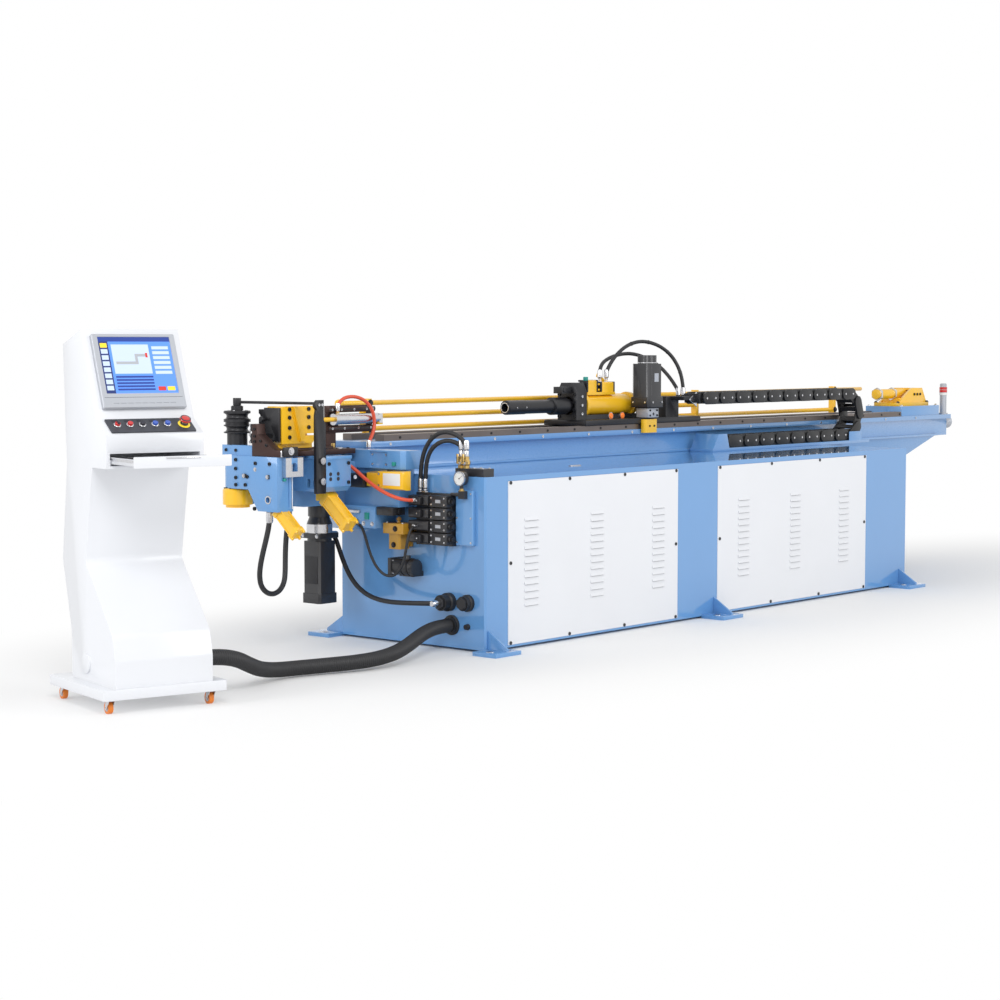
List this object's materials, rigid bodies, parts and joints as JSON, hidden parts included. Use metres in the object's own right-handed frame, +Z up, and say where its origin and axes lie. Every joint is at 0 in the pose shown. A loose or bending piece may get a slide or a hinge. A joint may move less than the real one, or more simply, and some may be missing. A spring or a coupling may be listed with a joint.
{
  "type": "cnc profile bending machine",
  "caption": "Bench-height tube and profile bending machine: swinging bend arm with stacked die, feed carriage with turning collet on a long bed, and a separate operator console.",
  "frame": {"origin": "middle of the footprint on the floor", "axes": "+X along the bed from the bend head to the rear, +Y from the operator side to the back, +Z up"},
  "size_m": [8.4156, 1.4793, 1.57],
  "materials": {
    "access_panels": "white paint",
    "arch_hose": "red-orange",
    "arm_hose": "black",
    "auxiliary_cylinder": "ochre",
    "bed_beam": "gloss blue paint",
    "bend_arm": "gloss blue paint",
    "bend_die": "black oxide",
    "bend_drive_motor": "black",
    "bend_drum": "yellow paint",
    "booster_cylinder": "polished",
    "button_plate": "dark plate",
    "cabinet": "gloss blue paint",
    "cable_glands": "black",
    "carriage_base": "black oxide",
    "caster_fork_back_left": "zinc plated",
    "caster_fork_back_right": "zinc plated",
    "caster_fork_front_left": "zinc plated",
    "caster_fork_front_right": "zinc plated",
    "caster_wheel_back_left": "orange tread",
    "caster_wheel_back_right": "orange tread",
    "caster_wheel_front_left": "orange tread",
    "caster_wheel_front_right": "orange tread",
    "chain_tray": "blue paint",
    "chuck_cylinder": "yellow paint",
    "chuck_hose_1": "black",
    "chuck_hose_2": "black",
    "clamp_cylinder": "yellow paint",
    "clamp_die": "black oxide",
    "clamp_slide": "brown oxide",
    "console_conduit": "corrugated",
    "console_housing": "white paint",
    "cylinder_hose": "black",
    "drive_cover": "yellow paint",
    "energy_chain": "moulded",
    "feed_hose": "red-orange",
    "feed_motor": "black",
    "guide_ways": "ground steel",
    "head_frame": "gloss blue paint",
    "keyboard": "black",
    "keyboard_drawer": "white paint",
    "leveling_feet": "gloss blue paint",
    "mandrel_unit": "yellow paint",
    "monitor": "silver bezel",
    "motor_cable": "black",
    "pinion_cover": "yellow paint",
    "pressure_block": "gloss blue paint",
    "pressure_cylinder": "yellow paint",
    "pressure_die": "black oxide",
    "pressure_gauge": "plated",
    "pressure_holder": "yellow paint",
    "pressure_hose_1": "black",
    "pressure_hose_2": "black",
    "pressure_slide": "brown oxide",
    "pump_unit": "black",
    "signal_tower": "red lens, white pole",
    "spindle": "black oxide",
    "spindle_housing": "yellow paint",
    "support_bars": "yellow paint",
    "tie_post": "black oxide",
    "valve_stack": "black"
  },
  "bodies": {
    "machine": {"access_panels": "access_panels", "arch_hose": "arch_hose", "arm_hose": "arm_hose", "auxiliary_cylinder": "auxiliary_cylinder", "bed_beam": "bed_beam", "bend_drive_motor": "bend_drive_motor", "bend_drum": "bend_drum", "button_plate": "button_plate", "cabinet": "cabinet", "cable_glands": "cable_glands", "chain_tray": "chain_tray", "console_conduit": "console_conduit", "console_housing": "console_housing", "cylinder_hose": "cylinder_hose", "drive_cover": "drive_cover", "energy_chain": "energy_chain", "feed_hose": "feed_hose", "guide_ways": "guide_ways", "head_frame": "head_frame", "leveling_feet": "leveling_feet", "mandrel_unit": "mandrel_unit", "monitor": "monitor", "motor_cable": "motor_cable", "pressure_block": "pressure_block", "pressure_cylinder": "pressure_cylinder", "pressure_gauge": "pressure_gauge", "pressure_hose_1": "pressure_hose_1", "pressure_hose_2": "pressure_hose_2", "pump_unit": "pump_unit", "signal_tower": "signal_tower", "support_bars": "support_bars", "tie_post": "tie_post", "valve_stack": "valve_stack"},
    "arm": {"bend_arm": "bend_arm", "bend_die": "bend_die", "clamp_cylinder": "clamp_cylinder"},
    "clamp": {"clamp_slide": "clamp_slide", "clamp_die": "clamp_die"},
    "pressure": {"pressure_slide": "pressure_slide", "booster_cylinder": "booster_cylinder"},
    "booster": {"pressure_holder": "pressure_holder", "pressure_die": "pressure_die"},
    "carriage": {"carriage_base": "carriage_base", "pinion_cover": "pinion_cover", "spindle_housing": "spindle_housing", "chuck_cylinder": "chuck_cylinder", "feed_motor": "feed_motor", "chuck_hose_1": "chuck_hose_1", "chuck_hose_2": "chuck_hose_2"},
    "spindle": {"spindle": "spindle"},
    "drawer": {"keyboard_drawer": "keyboard_drawer", "keyboard": "keyboard"},
    "swivel_front_left": {"caster_fork_front_left": "caster_fork_front_left"},
    "wheel_front_left": {"caster_wheel_front_left": "caster_wheel_front_left"},
    "swivel_front_right": {"caster_fork_front_right": "caster_fork_front_right"},
    "wheel_front_right": {"caster_wheel_front_right": "caster_wheel_front_right"},
    "swivel_back_left": {"caster_fork_back_left": "caster_fork_back_left"},
    "wheel_back_left": {"caster_wheel_back_left": "caster_wheel_back_left"},
    "swivel_back_right": {"caster_fork_back_right": "caster_fork_back_right"},
    "wheel_back_right": {"caster_wheel_back_right": "caster_wheel_back_right"}
  },
  "joints": [
    {"name": "bend_arm_swing", "type": "hinge", "parent": "machine", "child": "arm", "pos_m": [-2.544, 0.585, 0.9], "axis": [0, 0, 1], "range_deg": [-190, 0]},
    {"name": "clamp_feed", "type": "slide", "parent": "arm", "child": "clamp", "axis": [0, 1, 0], "range_m": [0, 0.072]},
    {"name": "pressure_feed", "type": "slide", "parent": "machine", "child": "pressure", "axis": [0, 1, 0], "range_m": [0, 0.024]},
    {"name": "booster_feed", "type": "slide", "parent": "pressure", "child": "booster", "axis": [1, 0, 0], "range_m": [0, 0.14]},
    {"name": "carriage_feed", "type": "slide", "parent": "machine", "child": "carriage", "axis": [1, 0, 0], "range_m": [-1.5, 2.4], "deforming": ["energy_chain"]},
    {"name": "spindle_turn", "type": "hinge", "parent": "carriage", "child": "spindle", "pos_m": [0.159, 0.523, 1.157], "axis": [1, 0, 0], "continuous": true},
    {"name": "drawer_slide", "type": "slide", "parent": "machine", "child": "drawer", "axis": [0.2588, 0.9659, 0], "range_m": [0, 0.25]},
    {"name": "swivel_front_left", "type": "hinge", "parent": "machine", "child": "swivel_front_left", "pos_m": [-4.14676, -0.40264, 0.05], "axis": [0, 0, 1], "continuous": true},
    {"name": "wheel_front_left", "type": "hinge", "parent": "swivel_front_left", "child": "wheel_front_left", "pos_m": [-4.1421, -0.38526, 0.025], "axis": [0.9659, -0.2588, 0], "continuous": true},
    {"name": "swivel_front_right", "type": "hinge", "parent": "machine", "child": "swivel_front_right", "pos_m": [-3.70727, -0.52041, 0.05], "axis": [0, 0, 1], "continuous": true},
    {"name": "wheel_front_right", "type": "hinge", "parent": "swivel_front_right", "child": "wheel_front_right", "pos_m": [-3.70261, -0.50302, 0.025], "axis": [0.9659, -0.2588, 0], "continuous": true},
    {"name": "swivel_back_left", "type": "hinge", "parent": "machine", "child": "swivel_back_left", "pos_m": [-4.02615, 0.04748, 0.05], "axis": [0, 0, 1], "continuous": true},
    {"name": "wheel_back_left", "type": "hinge", "parent": "swivel_back_left", "child": "wheel_back_left", "pos_m": [-4.02149, 0.06486, 0.025], "axis": [0.9659, -0.2588, 0], "continuous": true},
    {"name": "swivel_back_right", "type": "hinge", "parent": "machine", "child": "swivel_back_right", "pos_m": [-3.58666, -0.07029, 0.05], "axis": [0, 0, 1], "continuous": true},
    {"name": "wheel_back_right", "type": "hinge", "parent": "swivel_back_right", "child": "wheel_back_right", "pos_m": [-3.582, -0.0529, 0.025], "axis": [0.9659, -0.2588, 0], "continuous": true}
  ]
}
